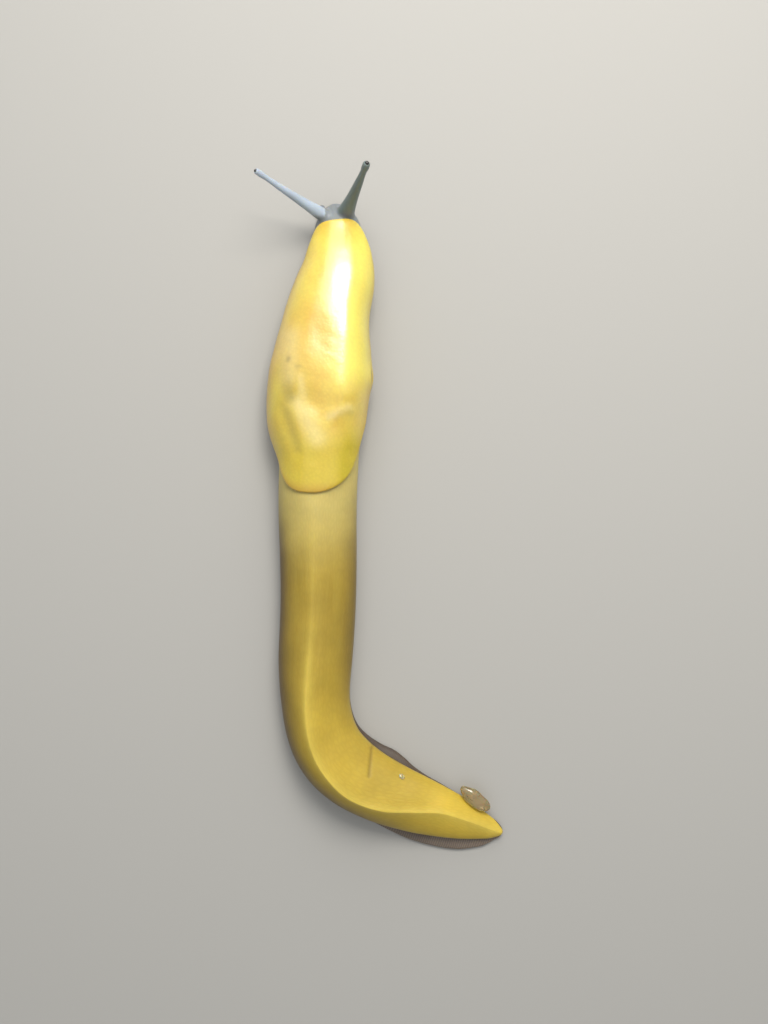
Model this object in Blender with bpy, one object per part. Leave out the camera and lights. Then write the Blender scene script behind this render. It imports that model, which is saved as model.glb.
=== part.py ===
# Banana slug, a still life-size model, crawling with its tail bent round to one side.
# The sole lies on z = 0, the head points to +Y, and the tail bends to +X.
# Sizes below are millimetres; meshes are written in metres.
# "Along" is the distance from the snout, measured on the bent centre line of the sole.
# "Across" is the distance to the side of that line, positive to the outer side of the bend.

import math

import bmesh
import bpy
import numpy as np
from mathutils import Matrix, Vector

MM = 0.001
GAP = 0.3                 # between neighbouring solids

# The sole's centre line seen from above, snout first
SPINE = [(-12.9, 80.0), (-11.7, 66.0), (-12.3, 60.0), (-14.1, 53.5), (-15.4, 46.0), (-16.2, 38.0),
         (-17.4, 24.0), (-16.9, 14.0), (-17.1, 6.0), (-17.0, -12.0), (-17.3, -30.0), (-17.9, -43.0),
         (-17.2, -52.6), (-14.0, -61.6), (-7.5, -68.2), (1.4, -73.2), (12.7, -77.7), (21.8, -80.9),
         (31.1, -84.2)]

# Body sizes, each a list of (along, size)
HALF_WIDTH = [(0, 5.0), (6, 6.2), (10, 7.2), (15, 7.9), (21, 9.1), (28, 10.1), (33, 10.9), (39, 12.0),
              (46, 12.85), (57, 12.5), (68, 10.7), (79, 10.6), (100, 10.3), (117, 10.1), (132, 9.3),
              (147, 9.5), (159, 8.9), (171, 7.8), (182, 5.8), (193, 2.1)]
TOP = [(0, 8.6), (9, 10.2), (21, 13.8), (36, 16.4), (45, 17.0), (55, 16.5), (67, 15.3), (91, 14.8),
       (121, 14.4), (143, 13.8), (157, 11.8), (171, 8.4), (182, 5.6), (193, 2.9)]
CREST = [(0, 2.2), (12, 2.5), (24, 2.9), (50, 2.9), (62, 2.4), (79, 1.9), (101, 1.6), (131, 1.4),
         (151, 1.25), (193, 1.25)]
LEAN = [(0, 0.0), (10, -0.3), (18, -1.2), (28, -3.1), (38, -3.9), (46, -3.8), (54, -2.8), (64, -0.6),
        (72, 0.3), (80, 0.9), (96, 1.0), (119, 1.4), (132, 2.3), (144, 3.5), (154, 4.4), (162, 3.3),
        (170, 0.9), (178, -0.9), (186, -0.6), (193, 0.0)]
GROOVE = [(0, 2.5), (151, 2.5), (179, 1.9), (193, 1.3)]

# How far the foot's fringe shows past the flank, on each side
FRINGE_OUTER = [(0, -0.6), (154, -0.6), (164, 0.9), (173, 2.3), (184, 3.0), (189, 2.4), (193, 1.1)]
FRINGE_INNER = [(0, -0.6), (132, -0.6), (142, -0.3), (149, 0.1), (154, 0.6), (159, 1.2), (162, 0.9),
                (166, 0.0), (171, -0.5), (182, -0.6), (189, -0.4), (193, 0.1)]

SNOUT_HEIGHT = 4.3        # middle of the rounded snout above the floor
SNOUT_ROUNDING = 6.0      # length over which the head rounds off
TAIL_ROUNDING = 4.0
FLANK_TUCK = 0.09         # how far the flank turns in above the foot, as a share of its width
FOOT_START = 2.6          # the foot's front edge, behind the snout
FOOT_ROUNDING = 5.0
FRINGE_HEIGHT = 0.8       # the fringe's widest line above the floor

# Where the body is parted, and the foot below it
BODY_LENGTHS = [("head", 0.0, 9.0), ("neck", 9.0, 22.0), ("torso_front", 22.0, 48.0),
                ("torso_middle", 48.0, 78.0), ("torso_rear", 78.0, 106.0), ("torso_bend_upper", 106.0, 133.0),
                ("torso_bend_lower", 133.0, 158.0), ("tail", 158.0, 177.0), ("tail_tip", 177.0, None)]
FOOT_LENGTHS = [("foot_front", FOOT_START, 40.0), ("foot_middle", 40.0, 82.0), ("foot_rear", 82.0, 120.0),
                ("foot_bend", 120.0, 156.0), ("foot_tail", 156.0, None)]
RING_POINTS = 33          # from groove to groove over the back
STEP = 3.2                # between rings along the body

# The mantle, the smooth shield over the front of the body
MANTLE_FRONT = 5.6
MANTLE_REAR = 75.8
MANTLE_REACH = 1.28       # down each side from the top of the back, in radians
MANTLE_SQUARENESS = (4.2, 3.0)   # of its front and of its rear
MANTLE_REAR_SKEW = 5.5    # its rear edge runs further forward on the inner side
MANTLE_PROUD = 0.95       # above the body's own surface
MANTLE_EDGE = 0.4         # sunk below it just inside the rim
MANTLE_THICKNESS = 2.4    # further sunk in the middle
MANTLE_SPAN = 12.0        # from its crest to its rim, for the share that the seat's gap adds
MANTLE_FRONT_ROLL = 0.55  # extra height just behind its front margin, gone again further back
MANTLE_AROUND = 60
MANTLE_RINGS = (0.14, 0.28, 0.42, 0.55, 0.67, 0.78, 0.87, 0.94, 0.98)
# Soft relief of the shield, seen from above: middle (x, y), size (x, y), height
MANTLE_RELIEF = [(-15.9, 44.0, 2.4, 4.5, -0.3), (-16.9, 27.0, 3.5, 3.4, -0.5), (-25.9, 34.0, 2.0, 4.5, -0.3),
                 (-4.0, 33.6, 2.2, 3.0, 0.45), (-10.5, 30.0, 3.5, 4.2, 0.45), (-10.0, 23.5, 4.0, 4.0, -0.3)]
PNEUMOSTOME_ALONG = 44.0  # the breathing hole, at the shield's right margin
PNEUMOSTOME_ANGLE = 1.12
PNEUMOSTOME_SIZE = (1.0, 2.3, 1.1)

# Feelers: root (along, across), tip position, radii from root to tip
UPPER_FEELERS = {
    "upper_tentacle_left": {"root": (3.4, 3.5), "tip": (-31.3, 83.8, 20.0), "girth": 0.92, "sag": 1.3},
    "upper_tentacle_right": {"root": (3.4, -2.9), "tip": (-4.2, 83.6, 26.5), "girth": 1.12, "sag": 0.9},
}
UPPER_RADII = [(0.0, 2.3), (0.1, 1.9), (0.35, 1.35), (0.7, 0.9), (0.9, 0.72), (0.95, 0.86), (1.0, 0.72)]
UPPER_SIDES = 14
LOWER_FEELERS = {
    "lower_tentacle_left": {"root": (1.9, 2.95), "out": 0.5, "ahead": 0.6, "down": 2.6},
    "lower_tentacle_right": {"root": (1.9, -2.95), "out": 0.5, "ahead": 0.6, "down": 2.6},
}
LOWER_RADII = [(0.0, 1.15), (0.3, 0.95), (0.75, 0.74), (0.87, 0.7), (0.94, 0.52), (1.0, 0.22)]
LOWER_SIDES = 10
EYE_RADIUS = 0.62
EYE_HEIGHT = 0.55
EYE_SIDES = 12

# Lips either side of the mouth's upright line, under the snout
LIP_SIZE = (1.6, 1.1, 1.35)
LIP_SIDE = 0.85
LIP_ALONG = 1.35
LIP_HEIGHT = 3.2
MOUTH_WIDTH = 0.35
MOUTH_SIZE = (3.0, 2.6)

# Slime plug on the inner side of the tail's tip: middle (along, across, height) and half sizes
PLUG_PLACE = (183.8, -6.6, 3.7)
PLUG_SIZE = (5.4, 2.4, 1.7)
PLUG_TURN = -19.0         # degrees, so that it follows the narrowing tail

COLOURS = {
    "skin": (0.62, 0.42, 0.07), "mantle": (0.82, 0.60, 0.12), "head": (0.30, 0.27, 0.22),
    "foot": (0.26, 0.21, 0.12), "eye": (0.01, 0.01, 0.012), "slime": (0.55, 0.52, 0.42),
}
ROUGHNESS = {"skin": 0.32, "mantle": 0.26, "head": 0.35, "foot": 0.4, "eye": 0.08, "slime": 0.15}


def smooth_table(rows, along):
    """A size read from its rows by cubic pieces that never overshoot the rows."""
    x, y = np.asarray(rows, float).T
    width = np.diff(x)
    slope = np.diff(y) / width
    tangent = np.zeros_like(y)
    tangent[0], tangent[-1] = slope[0], slope[-1]
    before, after = slope[:-1], slope[1:]
    same_way = before * after > 0
    weight_a = 2 * width[1:] + width[:-1]
    weight_b = width[1:] + 2 * width[:-1]
    safe_before = np.where(same_way, before, 1.0)
    safe_after = np.where(same_way, after, 1.0)
    mean = (weight_a + weight_b) / (weight_a / safe_before + weight_b / safe_after)
    tangent[1:-1] = np.where(same_way, mean, 0.0)
    along = np.asarray(along, float)
    k = np.clip(np.searchsorted(x, along, side="right") - 1, 0, len(x) - 2)
    t = np.clip((along - x[k]) / width[k], 0.0, 1.0)
    start = y[k] * (1 + 2 * t) * (1 - t) ** 2 + width[k] * tangent[k] * t * (1 - t) ** 2
    end = y[k + 1] * t * t * (3 - 2 * t) + width[k] * tangent[k + 1] * t * t * (t - 1)
    return start + end


def natural_spline(t, points, query):
    """The curve of least bending through the points."""
    count = len(t)
    h = np.diff(t)
    system = np.eye(count)
    right = np.zeros((count, 2))
    for i in range(1, count - 1):
        system[i, i - 1:i + 2] = h[i - 1], 2 * (h[i - 1] + h[i]), h[i]
        right[i] = 6 * ((points[i + 1] - points[i]) / h[i] - (points[i] - points[i - 1]) / h[i - 1])
    moment = np.linalg.solve(system, right)
    k = np.clip(np.searchsorted(t, query, side="right") - 1, 0, count - 2)
    ahead = (t[k + 1] - query)[:, None]
    behind = (query - t[k])[:, None]
    h = h[k][:, None]
    bending = (moment[k] * ahead ** 3 + moment[k + 1] * behind ** 3) / (6 * h)
    chord = (points[k] / h - moment[k] * h / 6) * ahead + (points[k + 1] / h - moment[k + 1] * h / 6) * behind
    return bending + chord


def measured_spine():
    """The centre line as close points with the length run so far."""
    points = np.array(SPINE)
    chord = np.concatenate([[0.0], np.cumsum(np.linalg.norm(np.diff(points, axis=0), axis=1))])
    path = natural_spline(chord, points, np.linspace(0, chord[-1], 4000))
    run = np.concatenate([[0.0], np.cumsum(np.linalg.norm(np.diff(path, axis=0), axis=1))])
    return path, run


PATH, RUN = measured_spine()
LENGTH = RUN[-1]


def place(along, across, height):
    """A point given by its distance along the body, to its side and above the floor."""
    along = np.asarray(along, float)
    reach = 0.3
    low = np.clip(along - reach, 0, LENGTH)
    high = np.clip(along + reach, 0, LENGTH)
    x, y = (np.interp(along, RUN, PATH[:, i]) for i in (0, 1))
    dx, dy = (np.interp(high, RUN, PATH[:, i]) - np.interp(low, RUN, PATH[:, i]) for i in (0, 1))
    size = np.hypot(dx, dy)
    return np.stack([x + across * dy / size, y - across * dx / size, height + 0.0 * x], -1)


def rounding(distance, length):
    """A quarter circle from 0 at an end to 1 at the given length from it."""
    return np.sqrt(np.clip(1 - np.clip(1 - distance / length, 0, 1) ** 2, 0, 1))


def body_surface(along, angle):
    """The back and flanks: angle 0 is the outer groove, pi / 2 the crest, pi the inner groove."""
    along = np.asarray(along, float)
    snout = rounding(along, SNOUT_ROUNDING)
    tip = rounding(LENGTH - along, TAIL_ROUNDING)
    width = smooth_table(HALF_WIDTH, along) * snout * tip
    groove = SNOUT_HEIGHT + (smooth_table(GROOVE, along) - SNOUT_HEIGHT) * snout
    top = SNOUT_HEIGHT + (smooth_table(TOP, along) - SNOUT_HEIGHT) * snout
    top = groove + (top - groove) * tip
    side = np.cos(angle)
    rise = np.abs(np.sin(angle))
    across = np.sign(side) * np.abs(side) ** (2 / smooth_table(CREST, along))
    tuck = 1 - FLANK_TUCK * np.clip(1 - rise / 0.4, 0, 1) ** 2
    lean = smooth_table(LEAN, along) * tip * (1 - np.abs(across))
    return place(along, width * across * tuck + lean, groove + (top - groove) * rise)


def outward(along, angle):
    """The surface's unit normal, away from the body."""
    by_along = body_surface(along + 0.05, angle) - body_surface(along - 0.05, angle)
    by_angle = body_surface(along, angle + 0.01) - body_surface(along, angle - 0.01)
    normal = np.cross(by_along, by_angle)
    return normal / np.maximum(np.linalg.norm(normal, axis=-1, keepdims=True), 1e-9)


def foot_section(along):
    """The foot's outline across the body at one place, as (across, height) pairs round it."""
    shape = rounding(along - FOOT_START, FOOT_ROUNDING) * rounding(LENGTH - along, TAIL_ROUNDING)
    flank = float(smooth_table(HALF_WIDTH, along))
    top = float(smooth_table(GROOVE, along)) - GAP
    ring = []
    for sign, fringe in ((1, FRINGE_OUTER), (-1, FRINGE_INNER)):
        edge = (flank + float(smooth_table(fringe, along))) * shape
        upper = min(flank * (1 - FLANK_TUCK), flank + float(smooth_table(fringe, along)) - 0.2) * shape
        soft = min(1.0, edge / 2)
        side = [(edge - 0.9 * soft, 0.0), (edge - 0.2 * soft, 0.35 * FRINGE_HEIGHT), (edge, FRINGE_HEIGHT),
                (edge - 0.25 * (edge - upper), 0.5 * (FRINGE_HEIGHT + top)), (upper, top)]
        ring.append([(sign * across, height) for across, height in side])
    return ring[0] + ring[1][::-1]


def make_object(name, build_mesh, colour):
    """A named object with its own material, its faces turned outwards."""
    bm = bmesh.new()
    build_mesh(bm)
    bmesh.ops.triangulate(bm, faces=bm.faces[:])
    bmesh.ops.recalc_face_normals(bm, faces=bm.faces[:])
    mesh = bpy.data.meshes.new(name)
    bm.to_mesh(mesh)
    bm.free()
    mesh.shade_smooth()
    mesh.set_sharp_from_angle(angle=math.radians(50))
    thing = bpy.data.objects.new(name, mesh)
    bpy.context.scene.collection.objects.link(thing)
    material = bpy.data.materials.new(name)
    material.use_nodes = True
    shader = material.node_tree.nodes["Principled BSDF"]
    shader.inputs["Base Color"].default_value = (*COLOURS[colour], 1)
    shader.inputs["Roughness"].default_value = ROUGHNESS[colour]
    mesh.materials.append(material)
    return thing


def loft(rings):
    """A builder of one closed skin over rings of equal count, with both ends filled."""
    def build(bm):
        rows = [[bm.verts.new(Vector(p) * MM) for p in ring] for ring in rings]
        count = len(rows[0])
        for near, far in zip(rows[:-1], rows[1:]):
            for i in range(count):
                j = (i + 1) % count
                bm.faces.new((near[i], near[j], far[j], far[i]))
        bm.faces.new(rows[0])
        bm.faces.new(rows[-1])
    return build


def stations(start, end):
    """Places of the rings between two partings, closer together near the snout and the tip."""
    low = start + GAP / 2 if start > 0 else 0.08
    high = end - GAP / 2 if end is not None else LENGTH - 0.06
    count = max(4, round((high - low) / STEP))
    places = list(np.linspace(low, high, count + 1))
    if start == 0.0:
        quarter = np.linspace(math.radians(10), math.radians(90), 6)
        places = [low] + [SNOUT_ROUNDING * (1 - math.cos(a)) for a in quarter] + [7.4, high]
    elif end is None:
        quarter = np.linspace(math.radians(75), math.radians(15), 4)
        body = list(np.linspace(low, LENGTH - TAIL_ROUNDING, count))
        places = body + [LENGTH - TAIL_ROUNDING * (1 - math.cos(a)) for a in quarter] + [high]
    return places


def body_rings(start, end, swell=0.0):
    """Rings of the upper body, or of the same body grown by a small amount."""
    angles = np.linspace(0, math.pi, RING_POINTS)
    rings = []
    for along in stations(start, end):
        ring = body_surface(along, angles)
        if swell:
            ring = ring + swell * outward(np.full_like(angles, along), angles)
            below = np.array([0, 0, swell])
            ring = np.concatenate([[ring[0] - below], ring, [ring[-1] - below]])
        rings.append(ring)
    return rings


def foot_rings(start, end):
    """Rings of the foot, rounded at its front edge."""
    places = stations(start, end)
    if start == FOOT_START:
        quarter = np.linspace(math.radians(12), math.radians(90), 6)
        front = [FOOT_START + FOOT_ROUNDING * (1 - math.cos(a)) for a in quarter]
        places = front + list(np.linspace(front[-1] + STEP, end - GAP / 2, 10))
    rings = []
    for along in places:
        across, height = np.array(foot_section(along)).T
        rings.append(place(np.full_like(across, along), across, height))
    return rings


def mantle_points(rim, across_rim, offset):
    """A ring of the shield: rim 0 is its middle, 1 its edge, set off from the body by offset."""
    turn = np.linspace(0, 2 * math.pi, MANTLE_AROUND, endpoint=False)
    front, rear = MANTLE_SQUARENESS
    power = np.where(np.cos(turn) > 0, 2 / front, 2 / rear)
    ahead = np.sign(np.cos(turn)) * np.abs(np.cos(turn)) ** power * rim
    aside = np.sign(np.sin(turn)) * np.abs(np.sin(turn)) ** power * across_rim
    middle = (MANTLE_FRONT + MANTLE_REAR) / 2
    along = middle - (MANTLE_REAR - MANTLE_FRONT) / 2 * ahead
    along -= MANTLE_REAR_SKEW * np.clip(-ahead, 0, 1) ** 2 * np.clip(-aside, 0, 1) ** 1.5
    angle = math.pi / 2 - aside * MANTLE_REACH
    points = body_surface(along, angle)
    lift = offset + (mantle_relief(points) + front_roll(along) if offset > 0 else np.zeros_like(angle))
    return points + outward(along, angle) * lift[:, None]


def smooth_step(low, high, value):
    """0 below low, 1 above high, an S curve between."""
    t = np.clip((value - low) / (high - low), 0, 1)
    return t * t * (3 - 2 * t)


def front_roll(along):
    """The fuller front of the shield: it rises behind the front margin and fades towards the middle."""
    return MANTLE_FRONT_ROLL * (smooth_step(1, 9, along - MANTLE_FRONT) - smooth_step(16, 34, along))


def mantle_relief(points):
    """The shield's soft hollows and swellings, each a round bell."""
    lift = np.zeros(len(points))
    for x, y, size_x, size_y, height in MANTLE_RELIEF:
        lift += height * np.exp(-((points[:, 0] - x) / size_x) ** 2 - ((points[:, 1] - y) / size_y) ** 2)
    return lift


def mantle_shell(grow):
    """Rings down from the shield's top to its rim and back inside; grow makes the cutter for its seat."""
    stretch_along = 1 + grow / ((MANTLE_REAR - MANTLE_FRONT) / 2)
    stretch_across = 1 + grow / MANTLE_SPAN
    lift = 2.0 if grow else 0.0
    rings = []
    for rim in MANTLE_RINGS:
        proud = MANTLE_PROUD * math.sqrt(1 - rim ** 9) + lift
        rings.append(mantle_points(rim * stretch_along, rim * stretch_across, proud))
    rings.append(mantle_points(stretch_along, stretch_across, lift / 2))
    if grow:
        rings.append(mantle_points(stretch_along, stretch_across, -MANTLE_EDGE - grow))
    for rim in MANTLE_RINGS[::-1]:
        sunk = MANTLE_EDGE + MANTLE_THICKNESS * (1 - rim ** 2) + grow
        rings.append(mantle_points(rim * stretch_along, rim * stretch_across, -sunk))
    return rings


def boolean(target, other, operation):
    """Applies one Boolean of another object on the target and removes the other object."""
    modifier = target.modifiers.new("cut", "BOOLEAN")
    modifier.operation = operation
    modifier.object = other
    modifier.solver = "EXACT"
    graph = bpy.context.evaluated_depsgraph_get()
    mesh = bpy.data.meshes.new_from_object(target.evaluated_get(graph))
    target.modifiers.clear()
    target.data = mesh
    bpy.data.objects.remove(other)
    keep_largest(target)


def keep_largest(thing):
    """Keeps the largest closed surface of an object and drops loose scraps."""
    bm = bmesh.new()
    bm.from_mesh(thing.data)
    seen, islands = set(), []
    for face in bm.faces:
        if face in seen:
            continue
        island, stack = [], [face]
        seen.add(face)
        while stack:
            here = stack.pop()
            island.append(here)
            for edge in here.edges:
                for neighbour in edge.link_faces:
                    if neighbour not in seen:
                        seen.add(neighbour)
                        stack.append(neighbour)
        islands.append(island)
    islands.sort(key=lambda faces: sum(f.calc_area() for f in faces), reverse=True)
    scraps = [face for island in islands[1:] for face in island]
    bmesh.ops.delete(bm, geom=scraps, context="FACES")
    bmesh.ops.triangulate(bm, faces=bm.faces[:])
    bm.to_mesh(thing.data)
    bm.free()


def tube_rings(start, end, bend, radii, sides, girth=1.0):
    """Rings of a tapering feeler from start to end, bowed by bend."""
    start, end, bend = Vector(start), Vector(end), Vector(bend)
    middle = (start + end) / 2 + bend
    upright = (end - start).cross(Vector((0, 0, 1))).normalized()
    rings = []
    for t in np.linspace(0, 1, 15):
        here = start.lerp(middle, t).lerp(middle.lerp(end, t), t)
        way = (middle - start).lerp(end - middle, t).normalized()
        across = (upright - way * upright.dot(way)).normalized()
        above = across.cross(way)
        radius = float(smooth_table(radii, t)) * girth
        turns = [2 * math.pi * i / sides for i in range(sides)]
        rings.append([here + (across * math.cos(a) + above * math.sin(a)) * radius for a in turns])
    return rings


def ellipsoid(middle, half_sizes, turn):
    """A builder of a smooth egg shape about a middle, its first size along the turned axis."""
    def build(bm):
        matrix = Matrix.Translation(Vector(middle) * MM) @ turn
        sizes = Matrix.Diagonal((*(size * MM for size in half_sizes), 1))
        bmesh.ops.create_uvsphere(bm, u_segments=16, v_segments=10, radius=1.0, matrix=matrix @ sizes)
    return build


def heading(along):
    """A turn that carries +X to the body's own forward direction there."""
    ahead = Vector(place(along - 0.5, 0, 0) - place(along + 0.5, 0, 0))
    return Matrix.Rotation(math.atan2(ahead.y, ahead.x), 4, "Z")


def box(middle, sizes, turn):
    """A builder of a box, for cutters."""
    def build(bm):
        scaled = Matrix.Diagonal((*(s * MM for s in sizes), 1))
        matrix = Matrix.Translation(Vector(middle) * MM) @ turn @ scaled
        bmesh.ops.create_cube(bm, size=1.0, matrix=matrix)
    return build


def make_body():
    """The upper body in lengths, with the shield's seat cut out of those below it."""
    made = {}
    for name, start, end in BODY_LENGTHS:
        colour = "head" if name in ("head", "neck") else "skin"
        made[name] = make_object(name, loft(body_rings(start, end)), colour)
        if start < MANTLE_REAR:
            seat = make_object("seat_cutter", loft(mantle_shell(GAP)), "mantle")
            boolean(made[name], seat, "DIFFERENCE")
    return made


def make_foot():
    """The foot in lengths, flat below, its fringe showing beside the tail."""
    for name, start, end in FOOT_LENGTHS:
        make_object(name, loft(foot_rings(start, end)), "foot")


def make_mantle():
    """The shield, with its breathing hole sunk in the right margin."""
    shield = make_object("mantle", loft(mantle_shell(0.0)), "mantle")
    angle = math.pi / 2 + PNEUMOSTOME_ANGLE
    spot = body_surface(PNEUMOSTOME_ALONG, angle)
    normal = Vector(outward(np.float64(PNEUMOSTOME_ALONG), np.float64(angle)))
    turn = normal.to_track_quat("X", "Z").to_matrix().to_4x4()
    middle = Vector(spot) + normal * (MANTLE_PROUD + 0.25)
    hole = make_object("pneumostome_cutter", ellipsoid(middle, PNEUMOSTOME_SIZE, turn), "mantle")
    boolean(shield, hole, "DIFFERENCE")


def make_mouth(head):
    """Two lips under the snout, parted by the upright line of the mouth."""
    for side in (LIP_SIDE, -LIP_SIDE):
        middle = place(LIP_ALONG, side, LIP_HEIGHT)
        lip = make_object("lip", ellipsoid(middle, LIP_SIZE, heading(LIP_ALONG)), "head")
        boolean(head, lip, "UNION")
    middle = place(0.0, 0.0, LIP_HEIGHT - 0.3)
    sizes = (MOUTH_SIZE[0], MOUTH_WIDTH, MOUTH_SIZE[1])
    slot = make_object("mouth_cutter", box(middle, sizes, heading(1.0)), "head")
    boolean(head, slot, "DIFFERENCE")


def head_cutter():
    """The head grown by the gap, to meet each feeler's root face to face."""
    return make_object("head_cutter", loft(body_rings(0.0, 9.0 + GAP, swell=GAP)), "head")


def make_upper_feelers():
    """Each long feeler, cut to the head, with the eye as a dome on its tip."""
    for name, sizes in UPPER_FEELERS.items():
        along, across = sizes["root"]
        tip = Vector(sizes["tip"])
        angle = math.acos(np.clip(across / 6.2, -1, 1))
        surface = Vector(body_surface(along, angle))
        way = (tip - surface).normalized()
        start = surface - way * 2.0
        bend = Vector((0, 0, -sizes["sag"]))
        radii, girth = UPPER_RADII, sizes["girth"]
        rings = tube_rings(start, tip, bend, radii, UPPER_SIDES, girth)
        feeler = make_object(name, loft(rings), "head")
        boolean(feeler, head_cutter(), "DIFFERENCE")
        make_eye(name.replace("upper_tentacle", "eye"), rings, girth)


def make_eye(name, rings, girth):
    """A dome that closes the feeler's tip, past the gap."""
    tip = sum((Vector(p) for p in rings[-1]), Vector()) / len(rings[-1])
    before = sum((Vector(p) for p in rings[-2]), Vector()) / len(rings[-2])
    way = (tip - before).normalized()
    across = (Vector(rings[-1][0]) - tip).normalized()
    above = way.cross(across)
    dome = []
    for lift in np.linspace(0, math.radians(75), 5):
        middle = tip + way * (GAP + EYE_HEIGHT * girth * math.sin(lift))
        radius = EYE_RADIUS * girth * math.cos(lift)
        turns = [2 * math.pi * i / EYE_SIDES for i in range(EYE_SIDES)]
        dome.append([middle + (across * math.cos(a) + above * math.sin(a)) * radius for a in turns])
    make_object(name, loft(dome), "eye")


def make_lower_feelers():
    """The short feelers beside the mouth, pointing down and ahead."""
    for name, sizes in LOWER_FEELERS.items():
        along, across = sizes["root"]
        side = math.copysign(1, across)
        root = Vector(place(along, across, SNOUT_HEIGHT - 0.2))
        tip = Vector(place(0.0, across + side * sizes["out"], 0.0))
        ahead = Vector(place(0.0, 0, 0) - place(1.0, 0, 0)).normalized()
        tip += ahead * sizes["ahead"]
        tip.z = root.z - sizes["down"]
        start = root - (tip - root).normalized() * 0.4
        rings = tube_rings(start, tip, (0, 0, 0.3), LOWER_RADII, LOWER_SIDES)
        feeler = make_object(name, loft(rings), "head")
        boolean(feeler, head_cutter(), "DIFFERENCE")


def make_plug():
    """The clear slime plug that sits against the tail."""
    along, across, height = PLUG_PLACE
    turn = heading(along) @ Matrix.Rotation(math.radians(PLUG_TURN), 4, "Z")
    plug = make_object("slime_plug", ellipsoid(place(along, across, height), PLUG_SIZE, turn), "slime")
    body = make_object("tail_cutter", loft(body_rings(168.0, None, swell=GAP)), "skin")
    boolean(plug, body, "DIFFERENCE")


def settle():
    """Moves the whole model so that its box stands centred on the origin, sole on the floor."""
    things = [thing for thing in bpy.context.scene.objects if thing.type == "MESH"]
    corners = np.array([vertex.co for thing in things for vertex in thing.data.vertices])
    middle = (corners.min(axis=0) + corners.max(axis=0)) / 2
    shift = Matrix.Translation((-middle[0], -middle[1], 0.0))
    for thing in things:
        thing.data.transform(shift)


def main():
    for thing in list(bpy.data.objects):
        bpy.data.objects.remove(thing)
    lengths = make_body()
    make_foot()
    make_mantle()
    make_mouth(lengths["head"])
    make_upper_feelers()
    make_lower_feelers()
    make_plug()
    settle()


main()
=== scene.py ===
# Banana slug, a still life-size model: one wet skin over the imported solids, eyes, slime and studio
# Shapes are worked out in millimetres on the animal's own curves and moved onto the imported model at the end.
# "along" runs from the snout down the bent middle line, "across" is positive to the outer side of the bend.
import math

import bpy
import numpy as np
from mathutils import Matrix, Vector


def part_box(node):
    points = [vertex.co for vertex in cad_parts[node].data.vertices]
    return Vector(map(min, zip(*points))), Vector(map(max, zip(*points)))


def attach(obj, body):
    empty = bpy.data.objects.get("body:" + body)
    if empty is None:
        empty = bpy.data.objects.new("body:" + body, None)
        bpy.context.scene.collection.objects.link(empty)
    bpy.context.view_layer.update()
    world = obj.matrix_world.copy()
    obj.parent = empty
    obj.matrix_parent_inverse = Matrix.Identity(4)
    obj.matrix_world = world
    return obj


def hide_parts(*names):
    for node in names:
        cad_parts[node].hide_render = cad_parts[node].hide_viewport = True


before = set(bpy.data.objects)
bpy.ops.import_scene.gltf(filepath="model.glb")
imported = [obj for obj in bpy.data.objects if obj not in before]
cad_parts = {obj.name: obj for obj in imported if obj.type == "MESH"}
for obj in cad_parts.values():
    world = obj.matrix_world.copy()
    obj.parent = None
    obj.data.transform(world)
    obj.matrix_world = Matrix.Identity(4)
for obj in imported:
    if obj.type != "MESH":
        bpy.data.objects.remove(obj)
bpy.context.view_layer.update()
print("frame loaded:", len(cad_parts), "nodes")

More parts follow.
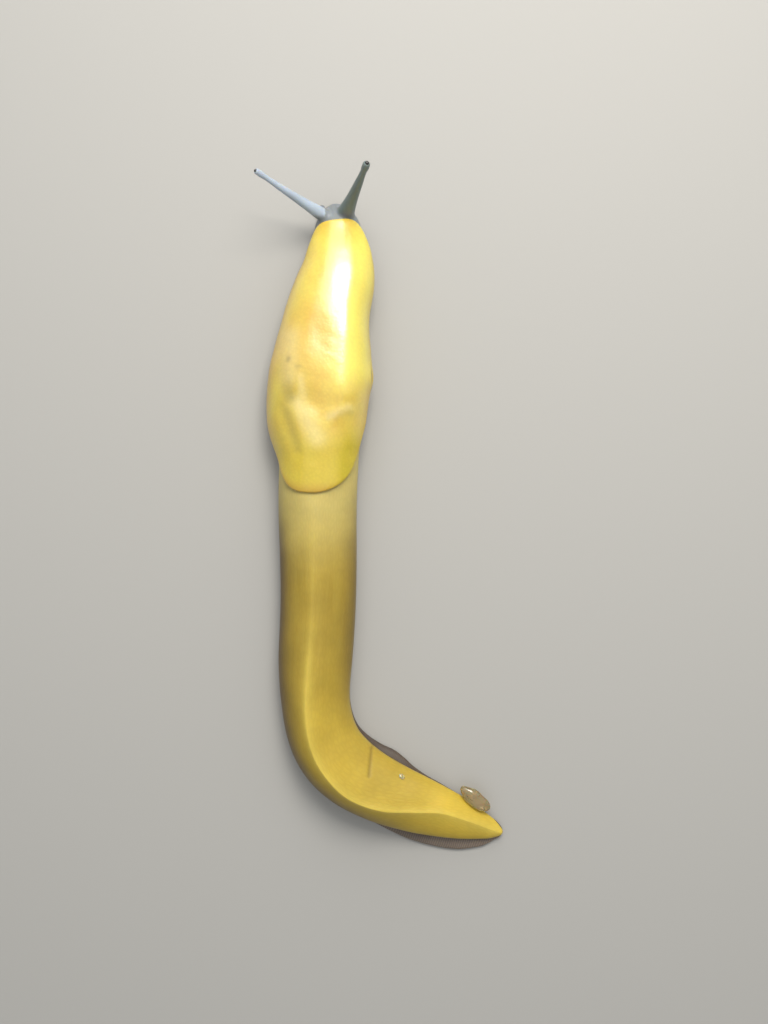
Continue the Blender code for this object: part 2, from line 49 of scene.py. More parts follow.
# Curves of the body, the same ones that the solids follow; tables give a size at each place along, in mm
bodyShape = {
    "spine": [(-12.9, 80.0), (-11.7, 66.0), (-12.3, 60.0), (-14.1, 53.5), (-15.4, 46.0), (-16.2, 38.0),
              (-17.4, 24.0), (-16.9, 14.0), (-17.1, 6.0), (-17.0, -12.0), (-17.3, -30.0), (-17.9, -43.0),
              (-17.2, -52.6), (-14.0, -61.6), (-7.5, -68.2), (1.4, -73.2), (12.7, -77.7), (21.8, -80.9),
              (31.1, -84.2)],
    "halfWidth": [(0, 5.0), (6, 6.2), (10, 7.2), (15, 7.9), (21, 9.1), (28, 10.1), (33, 10.9), (39, 12.0),
                  (46, 12.85), (57, 12.5), (68, 10.7), (79, 10.6), (100, 10.3), (117, 10.1), (132, 9.3),
                  (147, 9.5), (159, 8.9), (171, 7.8), (182, 5.8), (193, 2.1)],
    "top": [(0, 8.6), (9, 10.2), (21, 13.8), (36, 16.4), (45, 17.0), (55, 16.5), (67, 15.3), (91, 14.8),
            (121, 14.4), (143, 13.8), (157, 11.8), (171, 8.4), (182, 5.6), (193, 2.9)],
    "crest": [(0, 2.2), (12, 2.5), (24, 2.9), (50, 2.9), (62, 2.4), (79, 1.9), (101, 1.6), (131, 1.4),
              (151, 1.25), (193, 1.25)],
    "lean": [(0, 0.0), (10, -0.3), (18, -1.2), (28, -3.1), (38, -3.9), (46, -3.8), (54, -2.8), (64, -0.6),
             (72, 0.3), (80, 0.9), (96, 1.0), (119, 1.4), (132, 2.3), (144, 3.5), (154, 4.4), (162, 3.3),
             (170, 0.9), (178, -0.9), (186, -0.6), (193, 0.0)],
    "groove": [(0, 2.5), (151, 2.5), (179, 1.9), (193, 1.3)],
    "fringeOuter": [(0, -0.6), (154, -0.6), (164, 0.9), (173, 2.3), (184, 3.0), (189, 2.4), (193, 1.1)],
    "fringeInner": [(0, -0.6), (132, -0.6), (142, -0.3), (149, 0.1), (154, 0.6), (159, 1.2), (162, 0.9),
                    (166, 0.0), (171, -0.5), (182, -0.6), (189, -0.4), (193, 0.1)],
    "snoutHeight": 4.3,
    "snoutRounding": 6.0,
    "tailRounding": 4.0,
    "flankTuck": 0.09,
    "footStart": 2.6,
    "footRounding": 5.0,
    "fringeHeight": 0.8,
    "grooveGap": 0.3,         # height of the slit between flank and fringe
    "grooveDepth": 0.4,
    "torsoRear": (78.15, 105.85),   # where the solid torso_rear starts and ends
    "step": 0.5,              # between rings
    "backPoints": 96,
    "soleEdgePoints": 14,
    "solePoints": 24,
}


def smoothTable(rows, along):
    # A size read from its rows by cubic pieces that never overshoot the rows
    x, y = np.asarray(rows, float).T
    width = np.diff(x)
    slope = np.diff(y) / width
    before, after = slope[:-1], slope[1:]
    sameWay = before * after > 0
    weightA = 2 * width[1:] + width[:-1]
    weightB = width[1:] + 2 * width[:-1]
    mean = weightA / np.where(sameWay, before, 1.0) + weightB / np.where(sameWay, after, 1.0)
    mean = (weightA + weightB) / mean
    tangent = np.concatenate([[slope[0]], np.where(sameWay, mean, 0.0), [slope[-1]]])
    along = np.asarray(along, float)
    k = np.clip(np.searchsorted(x, along, side="right") - 1, 0, len(x) - 2)
    t = np.clip((along - x[k]) / width[k], 0.0, 1.0)
    start = y[k] * (1 + 2 * t) * (1 - t) ** 2 + width[k] * tangent[k] * t * (1 - t) ** 2
    end = y[k + 1] * t * t * (3 - 2 * t) + width[k] * tangent[k + 1] * t * t * (t - 1)
    return start + end


def naturalSpline(t, points, query):
    # The curve of least bending through the points, from the moments that make its slope run on smoothly
    count = len(t)
    h = np.diff(t)
    inner = np.arange(1, count - 1)
    system = np.eye(count)
    system[inner, inner - 1] = h[:-1]
    system[inner, inner] = 2 * (h[:-1] + h[1:])
    system[inner, inner + 1] = h[1:]
    chord = np.diff(points, axis=0) / h[:, None]
    right = np.zeros((count, 2))
    right[inner] = 6 * (chord[1:] - chord[:-1])
    moment = np.linalg.solve(system, right)
    k = np.clip(np.searchsorted(t, query, side="right") - 1, 0, count - 2)
    ahead = (t[k + 1] - query)[:, None]
    behind = (query - t[k])[:, None]
    h = h[k][:, None]
    bending = (moment[k] * ahead ** 3 + moment[k + 1] * behind ** 3) / (6 * h)
    straight = (points[k] / h - moment[k] * h / 6) * ahead
    return bending + straight + (points[k + 1] / h - moment[k + 1] * h / 6) * behind


def measuredSpine():
    # The middle line as close points, with the length run so far
    points = np.array(bodyShape["spine"])
    chord = np.concatenate([[0.0], np.cumsum(np.linalg.norm(np.diff(points, axis=0), axis=1))])
    path = naturalSpline(chord, points, np.linspace(0, chord[-1], 4000))
    run = np.concatenate([[0.0], np.cumsum(np.linalg.norm(np.diff(path, axis=0), axis=1))])
    return path, run


spinePath, spineRun = measuredSpine()
bodyLength = spineRun[-1]


def onSpine(along):
    # x and y of the middle line at each place along it
    return np.stack([np.interp(along, spineRun, spinePath[:, i]) for i in (0, 1)])


def place(along, across, height):
    # The point at that distance down the middle line, set off at a right angle to it and up from the floor
    along, across, height = np.broadcast_arrays(np.asarray(along, float), across, height)
    low = np.clip(along - 0.3, 0, bodyLength)
    high = np.clip(along + 0.3, 0, bodyLength)
    x, y = onSpine(along)
    dx, dy = onSpine(high) - onSpine(low)
    size = np.hypot(dx, dy)
    return np.stack([x + across * dy / size, y - across * dx / size, height], -1)


def rounding(distance, length):
    # A quarter circle from 0 at an end to 1 at the given length from it
    return np.sqrt(np.clip(1 - np.clip(1 - distance / length, 0, 1) ** 2, 0, 1))


def smoothStep(low, high, value):
    # 0 below low, 1 above high, an S curve between
    t = np.clip((value - low) / (high - low), 0, 1)
    return t * t * (3 - 2 * t)


def bell(distance, width):
    # 1 at no distance, falling off on both sides as e to the minus square of distance over width
    return np.exp(-(distance / width) ** 2)


def backSizes(along):
    # Half width, height of the groove and height of the crest at each place along the body
    snout = rounding(along, bodyShape["snoutRounding"])
    tip = rounding(bodyLength - along, bodyShape["tailRounding"])
    low = bodyShape["snoutHeight"]
    width = smoothTable(bodyShape["halfWidth"], along) * snout * tip
    groove = low + (smoothTable(bodyShape["groove"], along) - low) * snout
    top = low + (smoothTable(bodyShape["top"], along) - low) * snout
    return width, groove, groove + (top - groove) * tip, tip


def backPoint(along, angle):
    # The back as part of a flattened ellipse: angle 0 is the outer groove, pi / 2 the crest, pi the inner one
    along, angle = np.broadcast_arrays(np.asarray(along, float), angle)
    width, groove, top, tip = backSizes(along)
    side = np.cos(angle)
    rise = np.abs(np.sin(angle))
    across = np.sign(side) * np.abs(side) ** (2 / smoothTable(bodyShape["crest"], along))
    tuck = 1 - bodyShape["flankTuck"] * np.clip(1 - rise / 0.4, 0, 1) ** 2
    lean = smoothTable(bodyShape["lean"], along) * tip * (1 - np.abs(across))
    return place(along, width * across * tuck + lean, groove + (top - groove) * rise)


def unit(vectors):
    # The same directions at length 1
    return vectors / np.maximum(np.linalg.norm(vectors, axis=-1, keepdims=True), 1e-9)


def backNormal(along, angle):
    # The unit normal of the back, from its slopes along and round the body
    byAlong = backPoint(along + 0.05, angle) - backPoint(along - 0.05, angle)
    byAngle = backPoint(along, angle + 0.01) - backPoint(along, angle - 0.01)
    return unit(np.cross(byAlong, byAngle))


def ripple(points, scale, seed, waves=10):
    # Soft uneven swelling between -1 and 1: the mean of sine waves about scale long in random directions
    rng = np.random.default_rng(seed)
    way = unit(rng.normal(size=(waves, 3))) * rng.uniform(0.7, 1.4, (waves, 1)) * 2 * math.pi / scale
    phase = rng.uniform(0, 2 * math.pi, waves)
    return np.sin(points @ way.T + phase).mean(-1) * math.sqrt(waves) / 1.5


def packedShift():
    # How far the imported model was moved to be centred, read from the box of one length of the back
    along = np.linspace(*bodyShape["torsoRear"], 10)[:, None]
    own = backPoint(along, np.linspace(0, math.pi, 33)[None])
    low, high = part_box("torso_rear")
    box = (np.array(low) + np.array(high)) * 500
    return np.array([*(box[:2] - (own.min((0, 1)) + own.max((0, 1)))[:2] / 2), 0.0])


modelShift = packedShift()
print("model moved by", modelShift.round(3), "mm")


def hexColour(text):
    # A linear colour from its sRGB hex value
    channels = [int(text[i:i + 2], 16) / 255 for i in (0, 2, 4)]
    return (*(c / 12.92 if c <= 0.04045 else ((c + 0.055) / 1.055) ** 2.4 for c in channels), 1.0)


def newMaterial(name):
    # A material, its node tree and its shader
    material = bpy.data.materials.new(name)
    material.use_nodes = True
    return material, material.node_tree, material.node_tree.nodes["Principled BSDF"]


def addNode(tree, kind, inputs, **settings):
    # A shader node with its settings; each input is given a value or linked from another node's output
    node = tree.nodes.new("ShaderNode" + kind)
    for name, value in settings.items():
        setattr(node, name, value)
    for key, value in inputs.items():
        if isinstance(value, bpy.types.NodeSocket):
            tree.links.new(value, node.inputs[key])
        else:
            node.inputs[key].default_value = value
    return node


def mixColour(tree, factor, first, second, blend="MIX"):
    # Socket 6 and 7 are the colours of Mix, output 2 its colour
    node = addNode(tree, "Mix", {0: factor, 6: first, 7: second}, data_type="RGBA", blend_type=blend)
    return node.outputs[2]


def sharedInputs(shader, settings):
    # Numbers and colours that are the same all over the surface
    for name, value in settings.items():
        shader.inputs[name].default_value = value


def mask(tree, name):
    # A share or distance that setMasks keeps at each point of the skin
    return addNode(tree, "Attribute", {}, attribute_name=name).outputs["Fac"]


def mathNode(tree, operation, *values):
    # A sum or function of values and other nodes' outputs
    return addNode(tree, "Math", dict(enumerate(values)), operation=operation).outputs[0]


def moved(tree, value, low, high, first, last):
    # The value moved from the range low to high into the range first to last
    return addNode(tree, "MapRange", {0: value, 1: low, 2: high, 3: first, 4: last}).outputs[0]


def tinted(tree, colour, look, *names):
    # One tint after another laid over a colour, each by the mask of its own name
    for name in names:
        colour = mixColour(tree, mask(tree, name), colour, hexColour(look[name]))
    return colour


def bumped(tree, height, strength, distance, **settings):
    # A normal bent by a pattern's height, distance in metres
    inputs = {"Height": height, "Strength": strength, "Distance": distance}
    return addNode(tree, "Bump", inputs, **settings).outputs[0]


skinLook = {
    "back": "a9923a", "backWarm": "9c812a", "behind": "c6b56c", "tail": "ccae3a",
    # flank: partly the side's own browner colour, mostly painted shade on the side turned from the light
    "flank": "4b3414", "lowFlank": "907e53", "keel": "d4bd54",
    # the feeler tints are painted light: a bluish sky sheen on the left feeler, painted shade on the right one
    "head": "8b9296", "headDark": "666a6b", "feelerPaintedSheen": "b4c2d2", "feelerPaintedShade": "6f7e78",
    # the slit colour is painted shade in the groove between flank and fringe
    "fringe": "8d7e70", "fringeDark": "4d4238", "sole": "b5a98c", "slitPaintedShade": "3a2c16",
    "tubercleLength": 2.6,    # mm, along the body
    "tubercleWidth": 0.9,     # mm, round it
    "tubercleHeight": 0.014,  # mm
    "striation": 0.55,        # mm between the fringe's upright lines
    "shader": {"Roughness": 0.46, "IOR": 1.37, "Subsurface Weight": 0.28, "Subsurface Scale": 0.0016,
               "Subsurface Radius": (1.0, 0.62, 0.22), "Coat Weight": 0.25, "Coat Roughness": 0.34,
               "Coat IOR": 1.35},
}


def bodySkin():
    # Live slug skin under clear mucus: long low tubercles, streaked ochre, a sharp wet gloss over a soft glow
    look = skinLook
    material, tree, shader = newMaterial("wetSlugSkin")
    sharedInputs(shader, look["shader"])
    along, around = mask(tree, "along"), mask(tree, "around")

    # Patterns: metres to tubercle lengths and widths, then cells, streaks, blotches and grain
    pattern = addNode(tree, "CombineXYZ", {
        0: mathNode(tree, "MULTIPLY", along, 1000 / look["tubercleLength"]),
        1: mathNode(tree, "MULTIPLY", around, 1000 / look["tubercleWidth"]),
    }).outputs[0]
    wander = addNode(tree, "TexNoise", {"Vector": pattern, "Scale": 0.45, "Detail": 2.0}).outputs["Color"]
    bent = mixColour(tree, 0.22, pattern, wander, "ADD")
    cells = addNode(tree, "TexVoronoi", {"Vector": bent, "Scale": 1.0, "Randomness": 0.85},
                    feature="DISTANCE_TO_EDGE", voronoi_dimensions="2D").outputs["Distance"]
    dome = addNode(tree, "MapRange", {0: cells, 1: 0.0, 2: 0.38, 3: 0.0, 4: 1.0},
                   interpolation_type="SMOOTHSTEP").outputs[0]
    longer = addNode(tree, "Mapping", {"Vector": pattern, "Scale": (0.12, 0.55, 1.0)}).outputs[0]
    streaks = addNode(tree, "TexNoise", {"Vector": longer, "Scale": 1.6, "Detail": 4.0}).outputs["Fac"]
    place3d = addNode(tree, "TexCoord", {}).outputs["Object"]
    blotches = addNode(tree, "TexNoise", {"Vector": place3d, "Scale": 130.0, "Detail": 3.0}).outputs["Fac"]
    fine = addNode(tree, "TexNoise", {"Vector": place3d, "Scale": 1500.0, "Detail": 3.0}).outputs["Fac"]

    colour = mixColour(tree, streaks, hexColour(look["backWarm"]), hexColour(look["back"]))
    # the flank tint paints shade down the sides, most on the outer side away from the light
    colour = tinted(tree, colour, look, "behind", "tail", "flank", "lowFlank", "keel")
    # painted shade along the crease where the bend folds the skin
    colour = mixColour(tree, mask(tree, "crease"), colour, hexColour(look["flank"]))
    head = mixColour(tree, blotches, hexColour(look["headDark"]), hexColour(look["head"]))
    colour = mixColour(tree, mask(tree, "head"), colour, head)
    # painted light on the long feelers: bluish sheen on the left, shade on the right
    colour = tinted(tree, colour, look, "feelerPaintedSheen", "feelerPaintedShade")

    # The fringe's upright lines: a sine wave along the body, set out of step by the blotches
    wave = mathNode(tree, "MULTIPLY", along, 2000 * math.pi / look["striation"])
    lines = mathNode(tree, "SINE", mathNode(tree, "MULTIPLY_ADD", blotches, 14.0, wave))
    # painted shade: the fringe is darker on the inner side
    lit = moved(tree, around, -0.002, 0.002, 0.15, 1.0)
    lineTone = mathNode(tree, "MULTIPLY", moved(tree, lines, -1.0, 1.0, 0.3, 0.75), lit)
    fringe = mixColour(tree, lineTone, hexColour(look["fringeDark"]), hexColour(look["fringe"]))
    colour = mixColour(tree, mask(tree, "fringe"), colour, fringe)
    # the slit tint is painted shade in the groove between flank and fringe
    colour = tinted(tree, colour, look, "sole", "slitPaintedShade")
    shade = moved(tree, dome, 0.0, 1.0, 0.96, 1.01)
    mottle = moved(tree, blotches, 0.3, 0.7, 0.90, 1.06)
    colour = mixColour(tree, 1.0, colour, mathNode(tree, "MULTIPLY", shade, mottle), "MULTIPLY")
    tree.links.new(colour, shader.inputs["Base Color"])

    relief = mathNode(tree, "MULTIPLY", dome, mask(tree, "tubercles"))
    stripes = mathNode(tree, "MULTIPLY", lines, mask(tree, "fringe"))
    relief = mathNode(tree, "MULTIPLY_ADD", stripes, 0.3, relief)
    relief = mathNode(tree, "MULTIPLY_ADD", fine, 0.25, relief)
    deep = look["tubercleHeight"] / 1000
    tree.links.new(bumped(tree, relief, 1.0, deep), shader.inputs["Normal"])
    tree.links.new(bumped(tree, relief, 0.12, deep), shader.inputs["Coat Normal"])
    return material


mantleLook = {
    # the rear tint is painted shade and the lemon tint a painted highlight halo
    "bright": "e4cc4c", "deep": "dab638", "rear": "c0ab1e", "paintedHighlightHalo": "ece04e", "warm": "dba93c",
    # the pale tint is painted sheen; dent and hole are painted shade; edge is the margin's own colour deepened
    # as painted shade
    "paintedSheen": "ecdca0", "dentPaintedShade": "a39040", "speck": "8d7838", "edge": "b98c22", "hole": "6a4c22",
    "grain": 0.75,            # mm across one grain of the shield's fine relief
    "grainHeight": 0.035,     # mm
    "shader": {"Roughness": 0.38, "IOR": 1.45, "Subsurface Weight": 0.32, "Subsurface Scale": 0.002,
               "Subsurface Radius": (1.0, 0.7, 0.25), "Coat Weight": 1.0, "Coat Roughness": 0.28,
               "Coat IOR": 2.0},
}


def mantleSkin():
    # The shield's smooth skin under clear mucus: bright yellow, finely grained, its highlights broad and wet
    look = mantleLook
    material, tree, shader = newMaterial("wetMantleSkin")
    sharedInputs(shader, look["shader"])
    place3d = addNode(tree, "TexCoord", {}).outputs["Object"]
    blotches = addNode(tree, "TexNoise", {"Vector": place3d, "Scale": 95.0, "Detail": 4.0}).outputs["Fac"]
    grain = addNode(tree, "TexVoronoi", {"Vector": place3d, "Scale": 1000 / look["grain"], "Smoothness": 0.7},
                    feature="SMOOTH_F1").outputs["Distance"]
    tone = moved(tree, blotches, 0.35, 0.65, 0.0, 1.0)
    colour = mixColour(tree, tone, hexColour(look["deep"]), hexColour(look["bright"]))
    # among these tints the sheen and halo are painted highlight, and the rear, dent, edge and hole ones
    # painted shade
    colour = tinted(tree, colour, look, "rear", "paintedHighlightHalo", "warm", "paintedSheen", "dentPaintedShade", "speck", "edge", "hole")
    colour = mixColour(tree, 1.0, colour, moved(tree, grain, 0.0, 0.8, 1.02, 0.93), "MULTIPLY")
    tree.links.new(colour, shader.inputs["Base Color"])
    deep = look["grainHeight"] / 1000
    tree.links.new(bumped(tree, grain, 1.0, deep, invert=True), shader.inputs["Normal"])
    tree.links.new(bumped(tree, grain, 0.35, deep, invert=True), shader.inputs["Coat Normal"])
    # The mucus lies thinner at the margins and the rear
    tree.links.new(moved(tree, mask(tree, "dull"), 0.0, 1.0, 1.0, 0.3), shader.inputs["Coat Weight"])
    return material


skinMaterials = [bodySkin(), mantleSkin()]
print("skin materials made")


def closedGrid(name, rings, material=0, materials=None):
    # One closed skin over an array of rings (ring, point, xyz) in mm; a point at the middle of each end ring
    # shuts it, and faces are turned outwards by the sign of the volume that the side faces enclose
    count, around = rings.shape[:2]
    turn = np.arange(around)
    after = (turn + 1) % around
    start = np.arange(count - 1)[:, None] * around
    quads = np.stack([start + turn, start + after, start + around + after, start + around + turn], -1)
    quads = quads.reshape(-1, 4)
    first = np.stack([after, turn, np.full(around, count * around)], -1)
    last = np.stack([turn, after, np.full(around, around + 1)], -1) + (count - 1) * around
    points = np.concatenate([rings.reshape(-1, 3), rings[0].mean(0)[None], rings[-1].mean(0)[None]])
    points = (points + modelShift) / 1000
    a, b, c, d = (points[quads[:, n]] for n in range(4))
    volume = (a * (np.cross(b, c) + np.cross(c, d))).sum()
    faces = quads.tolist() + first.tolist() + last.tolist()
    if volume < 0:
        faces = [face[::-1] for face in faces]
    mesh = bpy.data.meshes.new(name)
    mesh.from_pydata(points.tolist(), [], faces)
    piece = bpy.data.objects.new(name, mesh)
    bpy.context.scene.collection.objects.link(piece)
    for each in materials or skinMaterials:
        mesh.materials.append(each)
    mesh.polygons.foreach_set("material_index", np.full(len(faces), material, np.int32))
    mesh.shade_smooth()
    return piece


def throughPoints(points, t):
    # A smooth curve through a row of points, the same for every ring: each span is a cubic with slopes from
    # its neighbours; points has (ring, point, 2) and t runs from 0 at the first point to 1 at the last
    count = points.shape[1]
    before = points[:, :1] * 2 - points[:, 1:2]
    padded = np.concatenate([before, points, points[:, -1:] * 2 - points[:, -2:-1]], 1)
    k = np.minimum((t * (count - 1)).astype(int), count - 2)
    u = (t * (count - 1) - k)[None, :, None]
    a, b, c, d = (padded[:, k + n] for n in range(4))
    second = 2 * a - 5 * b + 4 * c - d
    return 0.5 * (2 * b + (c - a) * u + second * u ** 2 + (3 * b - a - 3 * c + d) * u ** 3)


backRelief = {
    "keelFrom": (84.0, 112.0),       # the keel rises between these places along the body
    "keelHeight": 0.22,
    "keelWidth": 1.9,
    "swell": 0.10,                   # uneven fullness of the flanks
    "crease": (-3.2, -61.0, -3.9, -67.4, 0.4, 0.16),   # seen from above: start and end, width, depth
}


def backLift(along, angle, points):
    # Height added to the back: the keel's ridge, soft swellings, and creases where the bend folds the skin
    relief = backRelief
    width = np.maximum(backSizes(along)[0], 0.5)
    fromCrest = (angle - math.pi / 2) * width
    keel = relief["keelHeight"] * bell(fromCrest, relief["keelWidth"])
    keel = keel * smoothStep(*relief["keelFrom"], along) * smoothStep(bodyLength - 1, bodyLength - 14, along)
    lift = keel + relief["swell"] * ripple(points, 9.0, 3) * smoothStep(0, 12, along) * np.sin(angle)
    *line, size, depth = relief["crease"]
    lift = lift - depth * bell(segmentDistance(points, *line), size)
    return lift * smoothStep(0, 5, along) * smoothStep(bodyLength, bodyLength - 6, along)


def bodyRings():
    # Rings of back and foot in one: over the back from groove to groove, in through the slit, round the
    # fringe, across the sole and up the other side; the foot grows out of the head behind the mouth
    shape = bodyShape
    snout = shape["snoutRounding"] * (1 - np.cos(np.radians(np.linspace(3, 90, 26))))
    tail = bodyLength - shape["tailRounding"] * (1 - np.cos(np.radians(np.linspace(90, 6, 16))))
    middle = np.arange(snout[-1] + shape["step"], tail[0] - shape["step"] / 2, shape["step"])
    along = np.concatenate([snout, middle, tail])
    angle = np.linspace(0, math.pi, shape["backPoints"])
    s, a = np.meshgrid(along, angle, indexing="ij")
    upper = backPoint(s, a)
    upper = upper + backNormal(s, a) * backLift(s, a, upper)[..., None]

    width, groove, top, tip = (size[:, None] for size in backSizes(along))
    flank = smoothTable(shape["halfWidth"], along)[:, None]
    tuck = 1 - shape["flankTuck"]
    ends = rounding(bodyLength - along, shape["tailRounding"])[:, None]
    spread = rounding(along - shape["footStart"], shape["footRounding"])[:, None] * ends
    grown = rounding(along - shape["footStart"] + 0.3, 2.2)[:, None]
    sides = []
    for sign, fringe in ((-1, "fringeInner"), (1, "fringeOuter")):
        reach = smoothTable(shape[fringe], along)[:, None]
        edge = (flank + reach) * spread
        inside = np.minimum(flank * tuck, flank + reach - 0.2) * spread
        soft = np.minimum(1.0, edge / 2)
        lowTop = groove - shape["grooveGap"]
        across = np.concatenate([width * tuck, width * tuck - shape["grooveDepth"] * spread,
                                 inside - 0.05 * spread, edge - 0.25 * (edge - inside), edge,
                                 edge - 0.2 * soft, edge - 0.9 * soft], 1)
        height = np.concatenate([groove, groove - shape["grooveGap"] / 2, lowTop,
                                 0.5 * (shape["fringeHeight"] + lowTop), 0 * groove + shape["fringeHeight"],
                                 0 * groove + 0.35 * shape["fringeHeight"], 0 * groove], 1)
        share = np.linspace(0, 1, across.shape[1])[None]
        plainAcross = width * tuck * (1 - share * 0.75)
        plainHeight = groove - 0.5 * (1 - (1 - share * 0.75) ** 2) * rounding(along, 3.0)[:, None]
        across = plainAcross + (across - plainAcross) * grown
        height = plainHeight + (height - plainHeight) * grown
        turns = np.linspace(0, 1, shape["soleEdgePoints"])[1:]
        curve = throughPoints(np.stack([across * sign, height], -1), turns)
        sides.append(curve if sign < 0 else curve[:, ::-1])
    t = np.linspace(0, 1, shape["solePoints"] + 2)[None, 1:-1, None]
    sole = sides[0][:, -1:] * (1 - t) + sides[1][:, :1] * t
    lower = np.concatenate([sides[0], sole, sides[1]], 1)
    lower = place(along[:, None], lower[..., 0], np.maximum(lower[..., 1], 0.0))
    return np.concatenate([upper, lower], 1)


mantleShape = {
    "front": 5.6, "rear": 75.8,
    "reach": 1.28,                   # down each side from the crest, in radians
    "squareness": (4.2, 3.0),        # of the front and of the rear
    "rearSkew": 5.5,                 # the rear edge runs further forward on the inner side
    "proud": 0.95,
    "frontRoll": 0.55,               # extra height that the shield gains a little behind its front margin
    "lip": 0.47,                     # radius of the rolled margin
    "underside": [(0.93, 0.6), (0.8, 1.2), (0.55, 1.9), (0.3, 2.4), (0.08, 2.6)],   # rim, depth in the body
    "around": 300, "rings": 50,
    # Soft forms seen from above: middle (x, y), size (x, y), height
    "swells": [(-15.9, 44.0, 2.4, 4.5, -0.3), (-16.9, 27.0, 3.5, 3.4, -0.5), (-25.9, 34.0, 2.0, 4.5, -0.3),
               (-4.0, 33.6, 2.2, 3.0, 0.45), (-10.5, 30.0, 3.5, 4.2, 0.45), (-10.0, 23.5, 4.0, 4.0, -0.3)],
    # Folds seen from above: start and end in mm, width, height
    "folds": [
        (-18.6, 28.6, -15.2, 24.2, 1.8, -0.2), (-13.4, 24.6, -9.4, 26.0, 1.3, 0.3),
        (-25.2, 26.0, -21.4, 15.0, 1.4, -0.28), (-22.6, 26.6, -18.4, 17.0, 1.8, 0.2),
        (-24.2, 31.0, -23.4, 28.0, 1.6, -0.24), (-22.4, 34.5, -21.0, 31.0, 1.8, 0.15),
        (-19.4, 22.0, -17.6, 13.0, 1.3, -0.18), (-12.0, 21.0, -9.0, 15.0, 1.6, -0.16),
    ],
    "hole": (44.0, 1.14, 2.0, 0.03, 0.7),    # along, angle, size along, size round, depth
}


def mantleSpot(rim, turn):
    # Along and angle on the back of a point of the shield: a rounded box, rim 0 its middle and 1 its edge
    shape = mantleShape
    power = np.where(np.cos(turn) > 0, 2 / shape["squareness"][0], 2 / shape["squareness"][1])
    ahead = np.sign(np.cos(turn)) * np.abs(np.cos(turn)) ** power * rim
    aside = np.sign(np.sin(turn)) * np.abs(np.sin(turn)) ** power * rim
    along = (shape["front"] + shape["rear"]) / 2 - (shape["rear"] - shape["front"]) / 2 * ahead
    along = along - shape["rearSkew"] * np.clip(-ahead, 0, 1) ** 2 * np.clip(-aside, 0, 1) ** 1.5
    return along, math.pi / 2 - aside * shape["reach"]


def segmentDistance(points, x0, y0, x1, y1):
    # Distance seen from above from each point to the line between two points
    start, way = np.array([x0, y0]), np.array([x1 - x0, y1 - y0])
    rel = points[..., :2] - start
    t = np.clip(rel @ way / (way @ way), 0, 1)
    return np.linalg.norm(rel - t[..., None] * way, axis=-1)


def mantleLift(along, angle, points):
    # Height added to the shield: its broad swells, its folds and the sunk breathing hole with a raised ring
    lift = 0.05 * ripple(points, 10.0, 11) + 0.015 * ripple(points, 3.5, 12)
    for x, y, sizeX, sizeY, height in mantleShape["swells"]:
        lift = lift + height * bell(points[..., 0] - x, sizeX) * bell(points[..., 1] - y, sizeY)
    for x0, y0, x1, y1, size, height in mantleShape["folds"]:
        lift = lift + height * bell(segmentDistance(points, x0, y0, x1, y1), size)
    middle, side, sizeAlong, sizeRound, depth = mantleShape["hole"]
    away = np.hypot((along - middle) / sizeAlong, (angle - math.pi / 2 - side) / sizeRound)
    swollen = np.hypot((along - middle) / (1.6 * sizeAlong), (angle - math.pi / 2 - side) / 0.17)
    return lift - depth * np.exp(-away ** 2) + 0.3 * np.exp(-swollen ** 2)


def mantleRings():
    # The shield from its middle out, round its rolled margin and back inside the body
    shape = mantleShape
    dense = np.linspace(0, 2 * math.pi, 6001)
    edge = backPoint(*mantleSpot(1.0, dense))
    run = np.concatenate([[0], np.cumsum(np.linalg.norm(np.diff(edge, axis=0), axis=1))])
    turn = np.interp(np.linspace(0, run[-1], shape["around"] + 1)[:-1], run, dense)
    rim = np.linspace(0.01, 0.965, shape["rings"])[:, None]
    along, angle = mantleSpot(rim, turn[None])
    base = backPoint(along, angle)
    fade = smoothStep(1.0, 0.9, rim)
    lift = shape["proud"] + mantleLift(along, angle, base) * (0.35 + 0.65 * fade)
    lift = lift + shape["frontRoll"] * (smoothStep(1, 9, along - shape["front"]) - smoothStep(16, 34, along))
    top = base + backNormal(along, angle) * lift[..., None]

    along, angle = mantleSpot(1.0, turn)
    line = backPoint(along, angle)
    up = backNormal(along, angle)
    out = unit(line - backPoint(*mantleSpot(0.985, turn)))
    r = shape["lip"]
    roll = np.radians(np.linspace(12, 180, 12))[:, None, None]
    rolled = line + out * (r * np.sin(roll) - r) + up * (shape["proud"] - r + r * np.cos(roll))
    holeAway = np.hypot((along - shape["hole"][0] - 1.8) / 1.5, (angle - math.pi / 2 - shape["reach"]) / 0.3)
    rolled = rolled - out * (0.4 * np.exp(-holeAway ** 2))[:, None] * np.sin(roll)
    under = []
    for rim, depth in shape["underside"]:
        along, angle = mantleSpot(rim, turn)
        under.append(backPoint(along, angle) - backNormal(along, angle) * depth)
    return np.concatenate([top, rolled, np.array(under)])


feelerShape = {
    "upper": {
        "left": {"root": (3.4, 3.5), "tip": (-31.3, 83.8, 20.0), "girth": 0.92, "sag": 1.3},
        "right": {"root": (3.4, -2.9), "tip": (-4.2, 83.6, 26.5), "girth": 1.12, "sag": 0.9},
    },
    "upperRadii": [(0.0, 2.7), (0.1, 2.15), (0.2, 1.72), (0.35, 1.38), (0.7, 0.9), (0.88, 0.70), (0.95, 0.84),
                   (1.0, 0.80)],
    "lower": {"left": (1.9, 2.95, 1), "right": (1.9, -2.95, -1)},   # along, across, side
    "lowerOut": 0.5, "lowerAhead": 0.6, "lowerDown": 2.6,
    "lowerRadii": [(0.0, 1.3), (0.3, 0.98), (0.75, 0.76), (0.87, 0.7), (0.95, 0.5), (1.0, 0.2)],
    "headHalfWidth": 6.2,
    "eyeRadius": 0.5,
}


